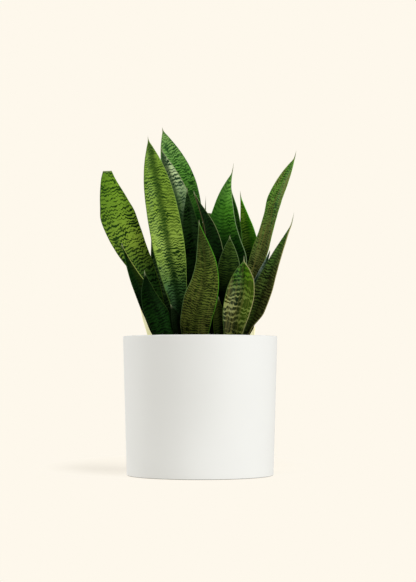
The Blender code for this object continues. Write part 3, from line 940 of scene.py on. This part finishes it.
def margins_and_edge_highlights(tree, skin, share, style, margin):
    """The skin with a thin line along each margin, in that side's colour, that fades to the foot. On some
    leaves the line is a painted highlight along the lit edge, and on others the leaf's own pale margin.
    """
    rim = add_node(tree, "ShaderNodeMapRange", [share["edge"], margin * 0.5, margin * 1.5, 0.85, 0.0],
                   interpolation_type="SMOOTHSTEP")
    right = add_node(tree, "ShaderNodeMapRange", [share["across"], -0.1, 0.1, 0.0, 1.0])
    rims = add_node(tree, "ShaderNodeMix", {
        "Factor": right, "A": colour(style.left), "B": colour(style.right)}, data_type="RGBA")
    fade = add_node(tree, "ShaderNodeMapRange", [share["along"], 0.0, 0.45, 0.15, 1.0])
    rim = add_node(tree, "ShaderNodeMath", [rim, fade], operation="MULTIPLY")
    return add_node(tree, "ShaderNodeMix", {"Factor": rim, "A": skin.outputs[2], "B": rims.outputs[2]},
                    data_type="RGBA")


def waxy_leaf(name, style, margin):
    """Living snake plant leaf: thick and firm under a waxy cuticle, so it shines softly.

    Wavy dark bands cross the green at 3 to 6 mm. The midrib is darkened as painted shade of its channel.
    In places there is a silvery wax sheen, which is painted reflection and partly the wax's own haze.
    The thin pale margin is, on some leaves, a painted highlight, and the tip is dry and brown. The colour
    darkens towards the foot as painted shade, and on some leaves one side is painted lighter or darker as
    light falls on it. The skin's cells and fibres are too fine to show, so they are drawn about 1 mm wide.
    """
    material, tree, shader = new_material("waxy_" + name)
    place = leaf_place(tree)
    flat = add_node(tree, "ShaderNodeSeparateXYZ", [place])
    share = {}
    for key in ("across", "along", "edge", "dry"):
        share[key] = add_node(tree, "ShaderNodeAttribute", attribute_name=key).outputs["Fac"]
    band, speckle = cross_bands(tree, place, flat, share["across"], style)
    # the ramps along the leaf hold painted shade towards the foot and painted light in stretches
    light = ramp(tree, share["along"], style.light)
    dark = ramp(tree, share["along"], style.dark)
    skin = add_node(tree, "ShaderNodeMix", {"Factor": band, "A": light, "B": dark}, data_type="RGBA")
    # lengthwise lines of olive and dark, about 1.5 mm wide
    lines = blotches(tree, place, 1.5, 60, style.seed + 11)
    lines = add_node(tree, "ShaderNodeMapRange", [lines, 0.45, 0.62, 0.0, style.streak],
                     interpolation_type="SMOOTHSTEP")
    skin = add_node(tree, "ShaderNodeMix", {"Factor": lines, "A": skin.outputs[2], "B": colour(OLIVE)},
                    data_type="RGBA")
    skin = painted_side_light_and_sheen(tree, skin, place, share, band, style)
    # midrib, darkened as painted shade of its channel
    beside = add_node(tree, "ShaderNodeMath", [flat.outputs["X"]], operation="ABSOLUTE")
    rib = add_node(tree, "ShaderNodeMapRange", [beside, 0.6, style.rib_width, style.rib, 0.0],
                   interpolation_type="SMOOTHSTEP")
    skin = add_node(tree, "ShaderNodeMix", {"Factor": rib, "A": skin.outputs[2], "B": dark}, data_type="RGBA")
    skin = margins_and_edge_highlights(tree, skin, share, style, margin)
    skin = add_node(tree, "ShaderNodeMix", {"Factor": share["dry"], "A": skin.outputs[2], "B": colour(DRY_BROWN)},
                    data_type="RGBA")
    tree.links.new(skin.outputs[2], shader.inputs["Base Color"])

    rough = add_node(tree, "ShaderNodeMapRange", [speckle, 0.3, 0.7, *LEAF_ROUGHNESS])
    rough = add_node(tree, "ShaderNodeMath", [share["dry"], 0.4, rough], operation="MULTIPLY_ADD")
    tree.links.new(rough.outputs[0], shader.inputs["Roughness"])
    fibres = blotches(tree, place, 0.9, 40, style.seed + 5)
    relief = add_node(tree, "ShaderNodeMath", [speckle, 0.8, fibres], operation="MULTIPLY_ADD")
    relief = add_node(tree, "ShaderNodeMath", [band, -0.35, relief], operation="MULTIPLY_ADD")
    bump = add_node(tree, "ShaderNodeBump", {"Height": relief, "Strength": 0.35, "Distance": 0.25 * MM})
    tree.links.new(bump.outputs[0], shader.inputs["Normal"])
    shader.inputs["Specular IOR Level"].default_value = LEAF_SHINE
    shader.inputs["Specular Tint"].default_value = colour(LEAF_SHINE_TINT)
    return material


def dry_sheath():
    """Papery sheath leaf at the clump's foot: pale straw with faint green and fine lengthwise fibres.

    It is so thin that light passes through, which a faint glow of its own colour stands in for.
    """
    material, tree, shader = new_material("dry_pale_sheath")
    place = leaf_place(tree)
    fibres = blotches(tree, place, 0.7, 18, 3, 3.0)
    along = add_node(tree, "ShaderNodeAttribute", attribute_name="along").outputs["Fac"]
    body = ramp(tree, along, ["C6C684", "E2DFAA", "F0ECC2", "DCD2A8"])
    lines = add_node(tree, "ShaderNodeMapRange", [fibres, 0.4, 0.68, 0.0, 0.5])
    skin = add_node(tree, "ShaderNodeMix", {"Factor": lines, "A": body, "B": colour("A7A562")}, data_type="RGBA")
    tree.links.new(skin.outputs[2], shader.inputs["Base Color"])
    bump = add_node(tree, "ShaderNodeBump", {"Height": fibres, "Strength": 0.4, "Distance": 0.2 * MM})
    tree.links.new(bump.outputs[0], shader.inputs["Normal"])
    shader.inputs["Roughness"].default_value = 0.75
    tree.links.new(body.outputs[0], shader.inputs["Emission Color"])
    shader.inputs["Emission Strength"].default_value = SHEATH_GLOW
    return material


def grow(node, material, seed, settings):
    """One fine leaf in place of the frame's."""
    name = node.replace("leaf", "blade") if node.startswith("leaf") else node + "_husk"
    piece = add_piece(name, blade_mesh(name, node, settings))
    tree = bpy.data.node_groups.get("leaf_relief") or relief_tree()
    run_tree(piece, tree, {
        "Ripple": settings.ripple, "Ripple Length": settings.ripple_length, "Rib Depth": settings.rib_depth,
        "Rib Width": settings.rib_width, "Seed": float(seed), "Material": material})
    piece.data.attributes.remove(piece.data.attributes["facing"])
    stand_for(piece, node)
    return piece


class SNAKEPLANT_OT_blades(bpy.types.Operator):
    """Grows the leaves: a smooth blade with a channelled midrib and banded skin for each of the frame's"""
    bl_idname = "snake_plant.blades"
    bl_label = "Grow Leaves"

    def execute(self, context):
        settings = context.scene.snake_plant.blades
        missing = [node for node in frame["nodes"] if node.startswith("leaf") and node not in LOOKS]
        if missing:
            raise RuntimeError(f"no look for {missing}")
        for node, style in LOOKS.items():
            grow(node, waxy_leaf(node, style, settings.margin), style.seed, settings)
        return {"FINISHED"}


class SNAKEPLANT_OT_sheaths(bpy.types.Operator):
    """Grows the pale sheaths at the foot of the outer leaves"""
    bl_idname = "snake_plant.sheaths"
    bl_label = "Grow Sheaths"

    def execute(self, context):
        settings = context.scene.snake_plant.blades
        material = dry_sheath()
        for seed, node in enumerate(sorted(node for node in frame["nodes"] if node.startswith("sheath"))):
            grow(node, material, seed, settings)
        return {"FINISHED"}


# ---------------------------------------------------------------------------------------------
# Soil
# ---------------------------------------------------------------------------------------------

# The loose grains: which setting gives their size, their length, width and height in shares of
# it, the range that it varies in, how many lie on a square metre, and their material
GRAINS = (
    ("Crumb Size", (1.0, 0.8, 0.65), (0.5, 1.5), 240000, "Peat"),
    ("Bark Size", (1.0, 0.5, 0.22), (0.5, 1.3), 9000, "Bark"),
    ("Crumb Size", (1.0, 0.9, 0.8), (0.5, 1.0), 3500, "Perlite"),
)

# How far the soil's even top lies below the frame's, to make room for the crumbs
CRUMB_ROOM = 1.2 * MM

# The width of the ground's lumps, and how far they sink and lift it
GROUND_LUMP = 9 * MM
GROUND_LIFT = (-1.6 * MM, 1.0 * MM)

# Faces whose normals point up by more than this are the soil's top
TOP_FACING = 0.6

# The soil's top is domed in this many steps, and one turn of it has this many sides
DOME_STEPS = 48
SOIL_SIDES = 160


def earth(name, dark, light, grain):
    """Moist potting mix, peat and composted bark: near-black brown crumbs that don't shine."""
    material, tree, shader = new_material(name)
    place = object_place(tree)
    fine = blotches(tree, place, grain, grain, 1, 3.0)
    tone = add_node(tree, "ShaderNodeAttribute", attribute_name="tone").outputs["Fac"]
    mix = add_node(tree, "ShaderNodeMath", [fine, 0.6, tone], operation="MULTIPLY_ADD")
    mix = add_node(tree, "ShaderNodeMapRange", [mix, 0.2, 1.2, 0.0, 1.0])
    body = add_node(tree, "ShaderNodeMix", {"Factor": mix, "A": colour(dark), "B": colour(light)}, data_type="RGBA")
    tree.links.new(body.outputs[2], shader.inputs["Base Color"])
    bump = add_node(tree, "ShaderNodeBump", {"Height": fine, "Strength": 0.6, "Distance": 0.5 * MM})
    tree.links.new(bump.outputs[0], shader.inputs["Normal"])
    shader.inputs["Roughness"].default_value = 0.92
    shader.inputs["Specular IOR Level"].default_value = 0.2
    return material


def grain_shape(tree, position, flat, number):
    """One uneven grain, about 1 wide, that each kind of grain flattens in its own way."""
    stone = add_node(tree, "GeometryNodeMeshIcoSphere", {"Radius": 0.5, "Subdivisions": 1})
    lumps = add_node(tree, "ShaderNodeTexNoise", {"Scale": 2.3 + number, "Detail": 1.0})
    lumps = add_node(tree, "ShaderNodeMapRange", [lumps, 0.3, 0.7, 0.7, 1.25])
    bumpy = add_node(tree, "ShaderNodeVectorMath", {"Vector": position, "Scale": lumps}, operation="SCALE")
    bumpy = add_node(tree, "ShaderNodeVectorMath", [bumpy, flat], operation="MULTIPLY")
    return add_node(tree, "GeometryNodeSetPosition", {"Geometry": stone.outputs["Mesh"], "Position": bumpy})


def scattered(tree, given, ground, on_top, leaves, position, number):
    """One kind of grain, strewn over the ground's top and clear of the leaves."""
    size, flat, spread, density, material = GRAINS[number]
    seed = add_node(tree, "ShaderNodeMath", [given["Seed"], number * 10], operation="ADD")
    scatter = add_node(tree, "GeometryNodeDistributePointsOnFaces", {
        "Mesh": ground, "Selection": on_top, "Density": density, "Seed": seed}, distribute_method="RANDOM")
    near = add_node(tree, "GeometryNodeProximity", [leaves], target_element="FACES")
    reach = add_node(tree, "ShaderNodeMath", [given[size], 0.5, given["Clearance"]], operation="MULTIPLY_ADD")
    blocked = add_node(tree, "FunctionNodeCompare", [near.outputs["Distance"], reach],
                       data_type="FLOAT", operation="LESS_THAN")
    points = add_node(tree, "GeometryNodeDeleteGeometry", {
        "Geometry": scatter.outputs["Points"], "Selection": blocked}, domain="POINT")
    stone = grain_shape(tree, position, flat, number)
    turn = add_node(tree, "FunctionNodeRandomValue", {
        "Min": (-0.5, -0.5, 0), "Max": (0.5, 0.5, math.tau), "Seed": seed}, data_type="FLOAT_VECTOR")
    scale = add_node(tree, "FunctionNodeRandomValue", {
        "Min": spread[0], "Max": spread[1], "Seed": seed}, data_type="FLOAT")
    scale = add_node(tree, "ShaderNodeMath", [scale, given[size]], operation="MULTIPLY")
    stones = add_node(tree, "GeometryNodeInstanceOnPoints", {
        "Points": points, "Instance": stone, "Rotation": turn, "Scale": scale})
    tone = add_node(tree, "FunctionNodeRandomValue", {"Min": 0.0, "Max": 0.8, "Seed": seed}, data_type="FLOAT")
    stones = add_node(tree, "GeometryNodeStoreNamedAttribute", {
        "Geometry": stones, "Name": "tone", "Value": tone}, data_type="FLOAT", domain="INSTANCE")
    stones = add_node(tree, "GeometryNodeRealizeInstances", [stones])
    return add_node(tree, "GeometryNodeSetMaterial", {"Geometry": stones, "Material": given[material]})


def crumbs_tree():
    """Roughens the soil's top and scatters crumbs, bark and a little perlite on it, clear of the leaves."""
    tree, given = node_group("soil_crumbs", [
        ("Leaves", "NodeSocketCollection", None), ("Clearance", "NodeSocketFloat", 1.2 * MM),
        ("Crumb Size", "NodeSocketFloat", 2.2 * MM), ("Bark Size", "NodeSocketFloat", 6.5 * MM),
        ("Seed", "NodeSocketInt", 7), ("Peat", "NodeSocketMaterial", None), ("Bark", "NodeSocketMaterial", None),
        ("Perlite", "NodeSocketMaterial", None)])
    normal = add_node(tree, "GeometryNodeInputNormal")
    upward = add_node(tree, "ShaderNodeSeparateXYZ", [normal]).outputs["Z"]
    on_top = add_node(tree, "FunctionNodeCompare", [upward, TOP_FACING], data_type="FLOAT", operation="GREATER_THAN")
    position = add_node(tree, "GeometryNodeInputPosition")
    rough = add_node(tree, "ShaderNodeTexNoise", {"Vector": position, "Scale": 1 / GROUND_LUMP, "Detail": 4.0})
    lift = add_node(tree, "ShaderNodeMapRange", [rough, 0.3, 0.7, *GROUND_LIFT])
    lift = add_node(tree, "ShaderNodeCombineXYZ", {"Z": lift})
    ground = add_node(tree, "GeometryNodeSetPosition", {
        "Geometry": given["Geometry"], "Selection": on_top, "Offset": lift})
    leaves = add_node(tree, "GeometryNodeCollectionInfo", {"Collection": given["Leaves"]}, transform_space="ORIGINAL")
    leaves = add_node(tree, "GeometryNodeRealizeInstances", [leaves])
    layers = [add_node(tree, "GeometryNodeSetMaterial", {"Geometry": ground, "Material": given["Peat"]})]
    for number in range(len(GRAINS)):
        layers.append(scattered(tree, given, ground, on_top, leaves, position, number))
    joined = tree.nodes.new("GeometryNodeJoinGeometry")
    for layer in reversed(layers):
        tree.links.new(layer.outputs[0], joined.inputs[0])
    add_node(tree, "NodeGroupOutput", [joined])
    return tree


class SNAKEPLANT_OT_soil(bpy.types.Operator):
    """Fills the planter with potting soil and scatters crumbs, bark and perlite on it"""
    bl_idname = "snake_plant.soil"
    bl_label = "Fill Soil"

    def execute(self, context):
        settings = context.scene.snake_plant.soil
        low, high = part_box("potting_soil")
        places = frame_points("potting_soil")
        radii = np.hypot(places[:, 0], places[:, 1])
        bottom_radius = radii[places[:, 2] < low[2] + WELD].max()
        top_radius = radii.max()
        edge_height = places[radii > top_radius - WELD, 2].max()
        crown = high[2] - edge_height
        corners = []
        for step in range(DOME_STEPS + 1):
            share = step / DOME_STEPS
            corners.append((top_radius * share, edge_height - CRUMB_ROOM + crown * (1 - share**2), 0))
        corners += [(bottom_radius, low[2], 0), (0, low[2], 0)]
        peat = earth("moist_peat", "120C08", "3A2A1C", 1.6)
        bark = earth("composted_bark", "2A1B10", "6B4A2E", 2.5)
        perlite = earth("perlite", "B9B4A6", "E4E0D4", 1.2)
        piece = turned("potting_mix", corners, SOIL_SIDES, peat)
        leaves = bpy.data.collections.new("leaves")
        for obj in context.scene.collection.objects:
            if obj.name.startswith(("blade_", "sheath_")) and not obj.hide_render:
                leaves.objects.link(obj)
        run_tree(piece, crumbs_tree(), {
            "Leaves": leaves, "Clearance": settings.clearance, "Crumb Size": settings.grain,
            "Bark Size": settings.chip, "Seed": settings.seed, "Peat": peat, "Bark": bark, "Perlite": perlite})
        bpy.data.collections.remove(leaves)
        stand_for(piece, "potting_soil")
        return {"FINISHED"}


# ---------------------------------------------------------------------------------------------
# Stage
# ---------------------------------------------------------------------------------------------

# Light that comes from all round: from above, and from the floor's side. The one turns into the
# other between level and this far below it.
SKY_GLOW = 0.32
FLOOR_GLOW = 0.84
BELOW_LEVEL = -0.12

# How much of the floor's tone is plain paint that takes shadows, behind the planter on the left;
# the rest glows evenly. The patch is soft-edged, in metres: its middle, radii and depth ratio.
FLOOR_PAINT = 0.36
PATCH_MIDDLE = (-0.03, 0.22)
PATCH_RADII = (0.12, 0.205)
PATCH_DEPTH = 1.6

# The floor is a disc in metres, so wide that its edge is level with the backdrop's horizon
FLOOR_RADIUS = 60
FLOOR_SIDES = 96

# The camera: its lens and sensor in mm, how far it sees in metres, the angle that it is tilted
# up by, and its place to the right of the planter's middle
LENS = 95.3
SENSOR = 36
SIGHT = 100
TILT = math.radians(3.08)
ASIDE = 10.4 * MM

# Each soft light: degrees round from the front, degrees up, and the width of its glow in degrees
KEY_FROM = (50, 38, 40)
FILL_FROM = (-105, 30, 50)

# The card's size and middle, and the angle that it leans towards the planter, in degrees
CARD_SIZE = (0.22, 0.05)
CARD_PLACE = (-0.06, -0.155, 0.003)
CARD_LEAN = 40


def sun(name, azimuth, elevation, width, strength):
    """A soft light from one direction, and how much of it falls on level ground.

    Azimuth 0 shines from the front and 90 from the right.
    """
    data = bpy.data.lights.new(name, "SUN")
    data.energy = strength
    data.angle = math.radians(width)
    lamp = bpy.data.objects.new(name, data)
    bpy.context.scene.collection.objects.link(lamp)
    around, up = math.radians(azimuth), math.radians(elevation)
    direction = Vector((math.sin(around) * math.cos(up), -math.cos(around) * math.cos(up), math.sin(up)))
    lamp.rotation_euler = direction.to_track_quat("Z", "Y").to_euler()
    return strength * math.sin(up)


def bounce_card(strength):
    """Light that a card on the floor, in front of the planter, throws back at its lower part."""
    data = bpy.data.lights.new("bounce_card", "AREA")
    data.shape = "RECTANGLE"
    data.size, data.size_y = CARD_SIZE
    data.energy = strength
    card = bpy.data.objects.new("bounce_card", data)
    bpy.context.scene.collection.objects.link(card)
    card.location = CARD_PLACE
    card.rotation_euler = (math.radians(180 - CARD_LEAN), 0, 0)
    card.visible_camera = False


def studio_world(backdrop):
    """An even backdrop for the camera, and a dim room with a brighter floor for the light."""
    world = bpy.data.worlds.new("studio")
    bpy.context.scene.world = world
    world.use_nodes = True
    tree = world.node_tree
    tree.nodes.clear()
    direction = add_node(tree, "ShaderNodeTexCoord").outputs["Generated"]
    up = add_node(tree, "ShaderNodeSeparateXYZ", [direction]).outputs["Z"]
    glow = add_node(tree, "ShaderNodeMapRange", [up, BELOW_LEVEL, 0.0, FLOOR_GLOW, SKY_GLOW])
    room = add_node(tree, "ShaderNodeBackground", {"Color": (*backdrop, 1), "Strength": glow})
    seen = add_node(tree, "ShaderNodeBackground", {"Color": (*backdrop, 1), "Strength": 1.0})
    camera_ray = add_node(tree, "ShaderNodeLightPath").outputs["Is Camera Ray"]
    mixed = add_node(tree, "ShaderNodeMixShader", [camera_ray, room, seen])
    add_node(tree, "ShaderNodeOutputWorld", [mixed])


def painted_floor(backdrop, lit):
    """Matte studio floor in the backdrop's colour: it glows evenly, and takes one faint, soft shadow."""
    material, tree, shader = new_material("matte_studio_paint")
    place = add_node(tree, "ShaderNodeTexCoord").outputs["Object"]
    middle = Vector((*PATCH_MIDDLE, 0.0))
    offset = add_node(tree, "ShaderNodeVectorMath", [place, middle], operation="SUBTRACT")
    offset = add_node(tree, "ShaderNodeVectorMath", [offset, (1, 1 / PATCH_DEPTH, 1)], operation="MULTIPLY")
    away = add_node(tree, "ShaderNodeVectorMath", [offset], operation="LENGTH").outputs["Value"]
    paint = add_node(tree, "ShaderNodeMapRange", [away, *PATCH_RADII, FLOOR_PAINT, 0.0],
                     interpolation_type="SMOOTHSTEP")
    glow = add_node(tree, "ShaderNodeMath", [paint, -lit, 1.0], operation="MULTIPLY_ADD")
    coat = add_node(tree, "ShaderNodeVectorMath", {"Vector": backdrop[:], "Scale": paint}, operation="SCALE")
    tree.links.new(coat.outputs[0], shader.inputs["Base Color"])
    tree.links.new(glow.outputs[0], shader.inputs["Emission Strength"])
    shader.inputs["Emission Color"].default_value = (*backdrop, 1)
    shader.inputs["Roughness"].default_value = 1.0
    shader.inputs["Specular IOR Level"].default_value = 0.0
    return material


def studio_floor(backdrop, lit):
    """The floor: a wide disc that the camera sees and that throws no light back."""
    mesh = bpy.data.meshes.new("floor")
    shape = bmesh.new()
    bmesh.ops.create_circle(shape, cap_ends=True, segments=FLOOR_SIDES, radius=FLOOR_RADIUS)
    shape.to_mesh(mesh)
    shape.free()
    mesh.materials.append(painted_floor(backdrop, lit))
    floor = add_piece("floor", mesh)
    floor.visible_diffuse = False
    floor.visible_glossy = False


def front_camera(distance, height):
    """The camera, in front of the planter and tilted slightly up."""
    data = bpy.data.cameras.new("camera")
    data.sensor_width = SENSOR
    data.lens = LENS
    data.clip_end = SIGHT
    camera = bpy.data.objects.new("camera", data)
    bpy.context.scene.collection.objects.link(camera)
    camera.location = (ASIDE, -distance, height)
    camera.rotation_euler = (math.pi / 2 + TILT, 0, 0)
    return camera


class SNAKEPLANT_OT_stage(bpy.types.Operator):
    """Sets the stage: a pale floor that runs into the backdrop, soft lights and the camera"""
    bl_idname = "snake_plant.stage"
    bl_label = "Set Stage"

    def execute(self, context):
        settings = context.scene.snake_plant.stage
        scene = context.scene
        scene.view_settings.view_transform = "Standard"
        studio_world(settings.backdrop)
        # the light that falls on the floor, as the strength of a glow that would be as bright
        lit = sun("key_light", *KEY_FROM, settings.key) / math.pi
        lit += sun("fill_light", *FILL_FROM, settings.fill) / math.pi
        lit += SKY_GLOW
        bounce_card(settings.bounce)
        studio_floor(settings.backdrop, lit)
        scene.camera = front_camera(settings.distance, settings.height)
        return {"FINISHED"}


# ---------------------------------------------------------------------------------------------
# Panel and registration
# ---------------------------------------------------------------------------------------------

OPERATORS = (
    (SNAKEPLANT_OT_planter, "planter"), (SNAKEPLANT_OT_blades, "blades"), (SNAKEPLANT_OT_sheaths, None),
    (SNAKEPLANT_OT_soil, "soil"), (SNAKEPLANT_OT_stage, "stage"),
)


class SNAKEPLANT_PT_sidebar(bpy.types.Panel):
    """Lists the pieces with their settings"""
    bl_idname = "SNAKEPLANT_PT_sidebar"
    bl_label = "Snake Plant"
    bl_space_type = "VIEW_3D"
    bl_region_type = "UI"
    bl_category = "Snake Plant"

    def draw(self, context):
        for operator, group in OPERATORS:
            box = self.layout.box()
            box.operator(operator.bl_idname)
            if group:
                settings = getattr(context.scene.snake_plant, group)
                for name in settings.__annotations__:
                    box.prop(settings, name)


CLASSES = (
    PlanterSettings, BladeSettings, SoilSettings, StageSettings, SnakePlantSettings,
    *(operator for operator, _ in OPERATORS), SNAKEPLANT_PT_sidebar,
)


def register():
    for cls in CLASSES:
        bpy.utils.register_class(cls)
    bpy.types.Scene.snake_plant = PointerProperty(type=SnakePlantSettings)


def unregister():
    del bpy.types.Scene.snake_plant
    for cls in reversed(CLASSES):
        bpy.utils.unregister_class(cls)


def main():
    register()
    bpy.ops.snake_plant.planter()
    bpy.ops.snake_plant.blades()
    bpy.ops.snake_plant.sheaths()
    bpy.ops.snake_plant.soil()
    bpy.ops.snake_plant.stage()


if __name__ == "__main__":
    main()
